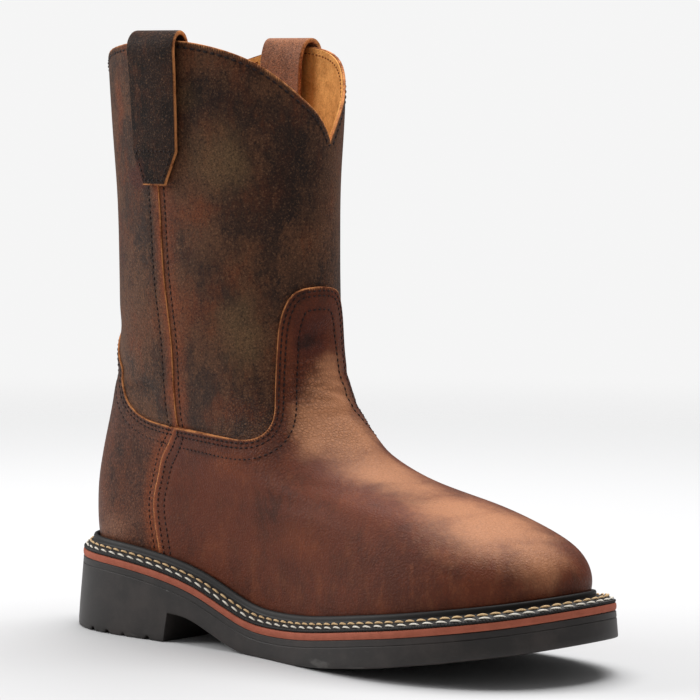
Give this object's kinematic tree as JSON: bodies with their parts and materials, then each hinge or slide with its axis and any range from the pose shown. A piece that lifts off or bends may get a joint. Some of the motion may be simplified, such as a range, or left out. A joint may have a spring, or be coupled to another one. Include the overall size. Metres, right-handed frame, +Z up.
{
  "type": "western work boot",
  "caption": "Right pull-on western work boot in oiled brown leather with a scalloped collar, pull straps, a welted lug sole and a broad square toe.",
  "frame": {"origin": "on the floor plane under the heel, 20 mm ahead of the back of the heel, on the boot's lengthwise middle line", "axes": "+X along the boot towards the toe, +Y towards the inner side of this right boot, +Z up the shaft"},
  "size_m": [0.3116, 0.1137, 0.2943],
  "materials": {
    "outsole_rubber": "satin black moulded rubber",
    "midsole_terracotta": "matt terracotta layer",
    "welt_black": "satin black, stitched",
    "insole_leather": "matt tan footbed",
    "oiled_leather": "distressed oiled brown leather with raw tan edges",
    "strap_leather": "oiled brown leather with raw tan edges"
  },
  "bodies": {
    "root": {"outsole": "outsole_rubber", "midsole": "midsole_terracotta", "welt": "welt_black", "insole": "insole_leather", "upper": "oiled_leather", "pull_strap_lateral": "strap_leather", "pull_strap_medial": "strap_leather"}
  },
  "joints": []
}
